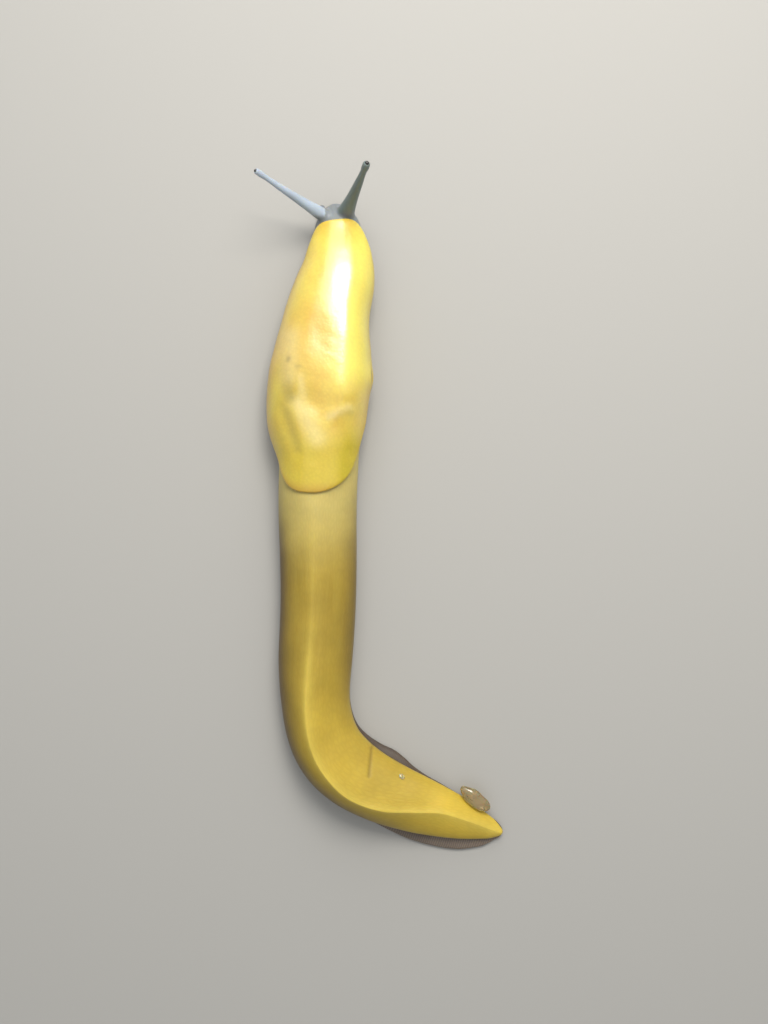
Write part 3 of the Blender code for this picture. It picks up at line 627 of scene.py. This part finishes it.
def tube(start, end, bend, radii, sides, girth, steps, dome):
    # Rings of a tapering tube on a curve pulled aside by bend, closed by a dome of that height at its tip
    middle = (start + end) / 2 + bend
    t = np.linspace(0, 1, steps)[:, None]
    path = start * (1 - t) ** 2 + middle * 2 * t * (1 - t) + end * t ** 2
    way = unit((middle - start) * (1 - t) + (end - middle) * t)
    radius = smoothTable(radii, t[:, 0]) * girth
    turn = np.radians(np.linspace(15, 84, 6))
    path = np.concatenate([path, end + way[-1] * dome * np.sin(turn)[:, None]])
    way = np.concatenate([way, np.repeat(way[-1:], len(turn), 0)])
    radius = np.concatenate([radius, radius[-1] * np.cos(turn)])
    across = unit(np.cross(way, [0.0, 0.0, 1.0]))
    above = np.cross(across, way)
    angle = np.linspace(0, 2 * math.pi, sides, endpoint=False)[None, :, None]
    ring = across[:, None] * np.cos(angle) + above[:, None] * np.sin(angle)
    return path[:, None] + ring * radius[:, None, None], end, way[-1]


def upperFeeler(side):
    # A long feeler from inside the head to its swollen tip
    sizes = feelerShape["upper"][side]
    along, across = sizes["root"]
    root = backPoint(along, math.acos(across / feelerShape["headHalfWidth"]))
    tip = np.array(sizes["tip"])
    start = root - unit(tip - root) * 2.0
    bend = np.array([0.0, 0.0, -sizes["sag"]])
    return tube(start, tip, bend, feelerShape["upperRadii"], 28, sizes["girth"], 70, 0.6 * sizes["girth"])


def lowerFeeler(side):
    # A short feeler beside the mouth, pointing down
    along, across, sign = feelerShape["lower"][side]
    root = place(along, across, bodyShape["snoutHeight"] - 0.2)
    ahead = unit(place(0.0, 0.0, 0.0) - place(1.0, 0.0, 0.0))
    tip = place(0.0, across + sign * feelerShape["lowerOut"], 0.0) + ahead * feelerShape["lowerAhead"]
    tip[2] = root[2] - feelerShape["lowerDown"]
    start = root - unit(tip - root) * 0.9
    return tube(start, tip, np.array([0.0, 0.0, 0.3]), feelerShape["lowerRadii"], 20, 1.0, 24, 0.15)


def eggRings(middle, sizes, forward, rings=24, around=36, up=(0.0, 0.0, 1.0)):
    # An egg shape about a middle, its sizes along the forward direction, across it and along the up direction
    lat = np.linspace(0.04, math.pi - 0.04, rings)[:, None]
    lon = np.linspace(0, 2 * math.pi, around, endpoint=False)[None]
    x = np.sin(lat) * np.cos(lon) * sizes[0]
    y = np.sin(lat) * np.sin(lon) * sizes[1]
    z = np.cos(lat) * sizes[2] + 0 * lon
    flat = middle + x[..., None] * forward + y[..., None] * np.cross(up, forward)
    return flat + z[..., None] * np.array(up)


lipShape = {
    "sizes": (1.6, 1.25, 1.6),       # ahead, aside, up
    "side": 0.95, "along": 1.35, "height": 3.2,
}


def joinTo(target, other):
    # One closed skin from two: what lies inside either is dropped
    modifier = target.modifiers.new("join", "BOOLEAN")
    modifier.operation = "UNION"
    modifier.solver = "MANIFOLD"
    modifier.object = other
    mesh = bpy.data.meshes.new_from_object(target.evaluated_get(bpy.context.evaluated_depsgraph_get()))
    target.modifiers.clear()
    target.data = mesh
    bpy.data.objects.remove(other)


skin = closedGrid("slug_skin", bodyRings())
joinTo(skin, closedGrid("shield", mantleRings(), 1))
feelerTips = {}
for side in ("left", "right"):
    rings, tip, way = upperFeeler(side)
    feelerTips[side] = (tip, way)
    joinTo(skin, closedGrid("feeler", rings))
    joinTo(skin, closedGrid("short_feeler", lowerFeeler(side)[0]))
headWay = unit(place(0.5, 0.0, 0.0) - place(1.5, 0.0, 0.0))
for sign in (1, -1):
    middle = place(lipShape["along"], sign * lipShape["side"], lipShape["height"])
    joinTo(skin, closedGrid("lip", eggRings(middle, lipShape["sizes"], headWay)))
print("skin joined:", len(skin.data.vertices), "points")

jointShape = {
    "upperReach": 3.0,   # mm round each long feeler's root that is smoothed into the head
    "lowerReach": 1.3,
    "lipReach": 1.9,
    "strength": 0.6,
    "rounds": 14,
}


def relax(points, edges, weight, rounds):
    # Each point moves towards the mean of its neighbours by its weight, again and again
    count = len(points)
    both = np.concatenate([edges, edges[:, ::-1]])
    share = np.bincount(both[:, 0], minlength=count)[:, None]
    for _ in range(rounds):
        total = np.stack([np.bincount(both[:, 0], points[both[:, 1], i], count) for i in range(3)], -1)
        points = points + (total / np.maximum(share, 1) - points) * weight[:, None]
    return points


def meshArrays(mesh):
    # The mesh's points in mm on the animal's own curves, and the pairs of points that its edges join
    points = np.empty(len(mesh.vertices) * 3)
    mesh.vertices.foreach_get("co", points)
    edges = np.empty(len(mesh.edges) * 2, np.int32)
    mesh.edges.foreach_get("vertices", edges)
    return points.reshape(-1, 3) * 1000 - modelShift, edges.reshape(-1, 2)


def softenJoints(piece):
    # Fillets where feelers and lips grow out of the head
    points, edges = meshArrays(piece.data)
    weight = np.zeros(len(points))
    spots = []
    for side in ("left", "right"):
        along, across = feelerShape["upper"][side]["root"]
        root = backPoint(along, math.acos(across / feelerShape["headHalfWidth"]))
        spots.append((root, jointShape["upperReach"]))
        along, across, sign = feelerShape["lower"][side]
        spots.append((place(along, across, 4.0), jointShape["lowerReach"]))
    for sign in (1, -1):
        root = place(lipShape["along"], sign * 1.2 * lipShape["side"], lipShape["height"])
        spots.append((root, jointShape["lipReach"]))
    for spot, reach in spots:
        away = np.linalg.norm(points - spot, axis=1)
        weight = np.maximum(weight, jointShape["strength"] * smoothStep(reach, reach * 0.6, away))
    points = relax(points, edges, weight, jointShape["rounds"])
    piece.data.vertices.foreach_set("co", ((points + modelShift) / 1000).ravel())


softenJoints(skin)


def spotOnBody(points):
    # Along and across of each point, from the nearest place on the middle line
    coarse = np.linspace(0, bodyLength, 400)
    line = onSpine(coarse).T
    nearest = np.concatenate([np.argmin(((block[:, None, :2] - line[None]) ** 2).sum(-1), 1)
                              for block in np.array_split(points, 40)])
    along = coarse[nearest]
    for _ in range(3):
        here = place(along, 0.0, 0.0)
        ahead = place(np.minimum(along + 0.5, bodyLength), 0.0, 0.0)
        ahead = unit(ahead - place(np.maximum(along - 0.5, 0), 0.0, 0.0))
        along = np.clip(along + ((points - here)[:, :2] * ahead[:, :2]).sum(-1), 0, bodyLength)
    here = place(along, 0.0, 0.0)
    side = place(along, 1.0, 0.0) - here
    return along, ((points - here)[:, :2] * side[:, :2]).sum(-1)


def backUnder(x, y):
    # The point of the back right below a spot seen from above, and the back's normal there
    along, angle = spotOnBody(np.array([[x, y, 0.0]]))[0], np.linspace(0, math.pi, 500)
    arc = backPoint(along, angle)
    nearest = np.argmin(np.hypot(arc[:, 0] - x, arc[:, 1] - y))
    return arc[nearest], backNormal(along, angle)[nearest]


# Tints of the shield seen from above: start and end in mm, width, strength
mantleTints = {
    # pale tints: painted sheen along ridges of the shield
    "paintedSheen": [(-21.6, 27.4, -16.7, 18.5, 2.3, 0.45), (-23.5, 44.0, -23.5, 34.0, 3.0, 0.4),
             (-21.1, 34.0, -20.1, 28.6, 1.2, 0.35), (-13.7, 23.8, -8.7, 26.0, 1.0, 0.35)],
    # dent tints: painted shade in a dent and a fold groove of the shield
    "dentPaintedShade": [(-24.3, 30.0, -23.6, 28.6, 1.7, 0.6), (-24.6, 25.4, -21.6, 16.0, 1.2, 0.25)],
    "speck": [(-24.0, 38.0, -23.9, 38.5, 0.6, 0.5), (-21.6, 36.3, -21.2, 36.3, 0.6, 0.35)],
    "warm": [(-17.4, 51.0, -16.4, 42.0, 3.2, 0.5)],
}


def strongest(points, tints):
    # The strongest of the tints at each point
    return np.max([share * bell(segmentDistance(points, *line), size) for *line, size, share in tints], 0)


def setMasks(piece):
    # How much each region's colour shows at each point, and the distances that the patterns follow
    mesh = piece.data
    points, edges = meshArrays(mesh)
    along, across = spotOnBody(points)
    width, groove, top, tip = backSizes(along)
    height = points[:, 2]
    fromKeel = across - smoothTable(bodyShape["lean"], along) * tip
    rise = np.clip((height - groove) / np.maximum(top - groove, 0.3), 0, 1)
    room = np.maximum(width - np.sign(fromKeel) * (across - fromKeel), 0.3)
    side = np.clip(np.abs(fromKeel) / room, 0, 1.2) ** (smoothTable(bodyShape["crest"], along) / 2)
    fromCrest = (math.pi / 2 - np.arctan2(rise, side)) * np.maximum(width, 2.0)
    around = 1.15 * fromCrest * np.sign(fromKeel)

    holeAlong, holeSide = mantleShape["hole"][:2]
    fromAngle = np.sign(across) * fromCrest / np.maximum(width, 2.0)
    front, rear = mantleShape["front"], mantleShape["rear"]
    lengthwise = (along - (front + rear) / 2) / (rear - front) * 2
    edgeShare = (np.abs(lengthwise) ** 3.5 + np.abs(fromAngle / mantleShape["reach"]) ** 3.5) ** (1 / 3.5)
    low = smoothStep(2.6, 2.0, height) * smoothStep(3.0, 6.0, along)
    flankTop = np.where(fromKeel > 0, 0.97 + 0.25 * smoothStep(112, 135, along), 0.85)
    inner = 0.55 - 0.4 * smoothStep(112, 140, along)
    flankShare = np.where(fromKeel > 0, 0.9, inner) * smoothStep(66, 96, along)
    flankShare = flankShare * (1 - 0.8 * smoothStep(150, 172, along))
    uneven = ripple(points, 7.0, 21)
    feeler = smoothStep(7.5, 9.5, height - 0.9 * smoothStep(0, 8, along)) * smoothStep(4.6, 3.6, along)
    holeAway = np.hypot((along - holeAlong) / 1.9, (fromCrest / np.maximum(width, 2.0) - holeSide) / 0.035)
    # painted shade: the shield darkens over its rear part
    rearShade = 0.45 * smoothStep(40, 50, along) * smoothStep(-2, 5, across)
    rearShade = rearShade + 0.25 * smoothStep(60, 68, along)
    rearShade = rearShade + 0.45 * smoothStep(56, 66, along) * smoothStep(6, -2, across)
    rearShade = np.minimum(rearShade + 0.6 * smoothStep(57, 68, along) * smoothStep(-4, -9, across), 1)
    # Each mask by its place along the body, its height and its way from the crest, all in mm
    masks = {
        "along": along / 1000,
        "around": around / 1000,
        "head": np.maximum(smoothStep(30, 14, along + 2 * uneven), feeler),
        # painted light on the long feelers: sky sheen on the left one, shade on the right one
        "feelerPaintedSheen": 0.75 * feeler * (points[:, 0] < -15),
        "feelerPaintedShade": 0.75 * feeler * (points[:, 0] > -12),
        "keel": (0.2 * smoothStep(76, 90, along) + 0.4 * smoothStep(105, 125, along)) * bell(fromCrest, 2.2),
        # flank: painted shade with some of the side's own brown, strongest on the outer side
        "flank": smoothStep(flankTop, 0.3, rise + 0.02 * uneven) * flankShare,
        # crease: painted shade in the fold on the inner side of the bend
        "crease": 0.4 * bell(segmentDistance(points, *backRelief["crease"][:4]), 0.42) * (fromKeel < 0),
        "tail": 0.5 * smoothStep(108, 142, along) + 0.5 * smoothStep(165, 182, along),
        "lowFlank": smoothStep(0.40, 0.12, rise) * smoothStep(112, 135, along) * (fromKeel > 0),
        "behind": smoothStep(100, 75, along) * 0.85,
        "fringe": smoothStep(-0.05, -0.4, height - groove) * (height > 0.05) * smoothStep(2.4, 3.4, along),
        "sole": smoothStep(0.12, 0.03, height),
        # slit: painted shade in the groove between flank and fringe
        "slitPaintedShade": bell(height - groove + 0.15, 0.28) * smoothStep(6, 12, along) * (np.abs(across) < width),
        "tubercles": (1 - low) * smoothStep(6, 20, along),
        # painted sheen on ridges of the shield
        "paintedSheen": strongest(points, mantleTints["paintedSheen"]),
        # painted highlight halo on the right side of the shield beside the highlight
        "paintedHighlightHalo": 0.7 * smoothStep(-2.5, -7, across) * smoothStep(52, 42, along),
        "dull": np.maximum(rearShade, 0.8 * smoothStep(0.7, 1.0, edgeShare)),
        # painted shade in the shield's dents and fold grooves
        "dentPaintedShade": strongest(points, mantleTints["dentPaintedShade"]),
        "speck": strongest(points, mantleTints["speck"]),
        # edge: the margin's own orange-brown, deepened by painted shade where the sides turn from the light
        "edge": np.maximum(smoothStep(0.9, 1.0, edgeShare) * (0.1 + 0.6 * smoothStep(10, 40, along)),
                           0.5 * smoothStep(0.7, 1.0, np.abs(fromAngle) / mantleShape["reach"])),
        "warm": strongest(points, mantleTints["warm"]),
        # rear: painted shade over the shield's rear part
        "rear": rearShade,
        # hole: painted shade in the breathing pore
        "hole": 0.8 * np.exp(-holeAway ** 2) * (across < 0),
    }
    for name, values in masks.items():
        mesh.attributes.new(name, "FLOAT", "POINT").data.foreach_set("value", values.astype(np.float32))
    print("masks set on", len(points), "points")


setMasks(skin)
skin.data.shade_smooth()
skin.data.set_sharp_from_angle(angle=math.radians(65))
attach(skin, "root")
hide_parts(*[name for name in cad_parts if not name.startswith(("eye_", "slime"))])
print("skin finished:", sum(len(p.vertices) - 2 for p in skin.data.polygons), "triangles")

eyeLook = {
    "colour": "0b0a0c", "cloud": "1c1612",
    "shader": {"Roughness": 0.12, "IOR": 1.45, "Coat Weight": 1.0, "Coat Roughness": 0.03},
}


def eyeMaterial():
    # The dark eye cup under clear skin: nearly black, with a small sharp glint
    material, tree, shader = newMaterial("glossyEye")
    sharedInputs(shader, eyeLook["shader"])
    place3d = addNode(tree, "TexCoord", {}).outputs["Object"]
    cloud = addNode(tree, "TexNoise", {"Vector": place3d, "Scale": 3000.0}).outputs["Fac"]
    colour = mixColour(tree, cloud, hexColour(eyeLook["colour"]), hexColour(eyeLook["cloud"]))
    tree.links.new(colour, shader.inputs["Base Color"])
    return material


eyeFinish = eyeMaterial()
for side, (tip, way) in feelerTips.items():
    girth = feelerShape["upper"][side]["girth"]
    middle = tip + way * 0.36 * girth
    ball = eggRings(middle, (feelerShape["eyeRadius"] * girth,) * 3, np.array([1.0, 0.0, 0.0]), 16, 24)
    eye = closedGrid("eye_" + side + "_bead", ball, 0, [eyeFinish])
    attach(eye, "root")
    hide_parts("eye_" + side)
print("eyes set")

slimeShape = {
    "place": (183.8, -6.6, 3.7),     # the plug's middle: along, across, height
    "sizes": (5.4, 2.4, 1.7),
    "turn": -19.0,                   # degrees from the body's own line
    "bead": (4.6, -68.2),            # the small bead's middle, x and y seen from above
    "beadSize": (0.9, 0.7, 0.32),
}
slimeLook = {
    "plug": ("b39a66", "d6c491"), "bead": ("f2e2a8", "fff4cc"),
    "lumps": 0.2,                    # mm, height of the surface's lumps
    "shader": {"Roughness": 0.16, "IOR": 1.34, "Transmission Weight": 0.75, "Subsurface Weight": 0.4,
               "Subsurface Scale": 0.002, "Coat Weight": 1.0, "Coat Roughness": 0.06},
}


def slimeMaterial(name, colours):
    # Thick clear mucus: faintly cloudy beige, lumpy, with sharp glints; a drop of it is clearer
    material, tree, shader = newMaterial(name)
    sharedInputs(shader, slimeLook["shader"])
    place3d = addNode(tree, "TexCoord", {}).outputs["Object"]
    cloud = addNode(tree, "TexNoise", {"Vector": place3d, "Scale": 700.0, "Detail": 3.0}).outputs["Fac"]
    colour = mixColour(tree, cloud, *map(hexColour, colours))
    tree.links.new(colour, shader.inputs["Base Color"])
    tree.links.new(bumped(tree, cloud, 0.2, slimeLook["lumps"] / 1000), shader.inputs["Normal"])
    return material


plugMiddle = place(*slimeShape["place"])
plugAlong = slimeShape["place"][0]
plugWay = unit(place(plugAlong - 0.5, 0.0, 0.0) - place(plugAlong + 0.5, 0.0, 0.0))
plugWay = np.array(Matrix.Rotation(math.radians(slimeShape["turn"]), 3, "Z") @ Vector(plugWay))
plugRings = eggRings(plugMiddle, slimeShape["sizes"], plugWay, 40, 64)
plugRings = plugMiddle + (plugRings - plugMiddle) * (0.88 + 0.10 * ripple(plugRings, 5.0, 34))[..., None]
plug = closedGrid("slime_blob", plugRings, 0, [slimeMaterial("thickMucus", slimeLook["plug"])])
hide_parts("slime_plug")
beadMiddle, beadUp = backUnder(*slimeShape["bead"])
beadWay = unit(plugWay - beadUp * (plugWay @ beadUp))
beadRings = eggRings(beadMiddle, slimeShape["beadSize"], beadWay, 16, 24, beadUp)
bead = closedGrid("slime_bead", beadRings, 0, [slimeMaterial("clearMucus", slimeLook["bead"])])
for piece in (plug, bead):
    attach(piece, "root")
print("slime set")

studio = {
    "floor": "a6a49f", "floorHalf": 1.5, "world": "e6ebf0", "worldStrength": 0.38,
    "aim": (-0.012, 0.02, 0.01),
    "lights": [   # name, place, size in metres, watts, tint
        ("keyLight", (0.075, 0.295, 0.418), 0.22, 1.95, "fffaf2"),
        ("frontLight", (-0.012, 0.414, 0.318), 0.40, 1.25, "ffffff"),
        ("skyLight", (0.00, 0.07, 0.60), 0.90, 0.8, "ffffff"),
        ("leftLight", (-0.408, 0.149, 0.287), 0.90, 0.5, "ffffff"),
        ("rightLight", (0.374, 0.189, 0.280), 0.60, 0.5, "ffffff"),
        ("lowLight", (0.05, -0.35, 0.35), 0.40, 0.2, "ffffff"),
    ],
}


def makeStudio():
    # A pale floor, a soft sky all round, a key light from the upper right and weaker broad ones about it
    half = studio["floorHalf"]
    floor = bpy.data.meshes.new("floor")
    corners = [(-half, -half, 0), (half, -half, 0), (half, half, 0), (-half, half, 0)]
    floor.from_pydata(corners, [], [(0, 1, 2, 3)])
    ground = bpy.data.objects.new("floor", floor)
    bpy.context.scene.collection.objects.link(ground)
    material, tree, shader = newMaterial("paleFloor")
    shader.inputs["Base Color"].default_value = hexColour(studio["floor"])
    shader.inputs["Roughness"].default_value = 0.7
    floor.materials.append(material)
    for name, spot, size, watts, tint in studio["lights"]:
        light = bpy.data.lights.new(name, "AREA")
        light.size = size
        light.energy = watts
        light.color = hexColour(tint)[:3]
        lamp = bpy.data.objects.new(name, light)
        lamp.location = spot
        lamp.rotation_euler = (Vector(studio["aim"]) - Vector(spot)).to_track_quat("-Z", "Y").to_euler()
        bpy.context.scene.collection.objects.link(lamp)
    world = bpy.data.worlds.new("softSky")
    world.use_nodes = True
    sky = world.node_tree.nodes["Background"]
    sky.inputs["Color"].default_value = hexColour(studio["world"])
    sky.inputs["Strength"].default_value = studio["worldStrength"]
    bpy.context.scene.world = world


cameraLook = {"lens": 40, "film": 36, "height": 0.300}   # mm, mm along the picture's long side, metres


def makeCamera():
    # Straight above, as the photograph was taken, over the place that the solids' own curves count from
    camera = bpy.data.cameras.new("photoCamera")
    camera.lens = cameraLook["lens"]
    camera.sensor_width = cameraLook["film"]
    camera.clip_start = 0.01
    eye = bpy.data.objects.new("photoCamera", camera)
    eye.location = (modelShift[0] / 1000, modelShift[1] / 1000, cameraLook["height"])
    bpy.context.scene.collection.objects.link(eye)
    bpy.context.scene.camera = eye


makeStudio()
makeCamera()
bpy.context.scene.view_settings.view_transform = "Standard"
print("studio and camera set")
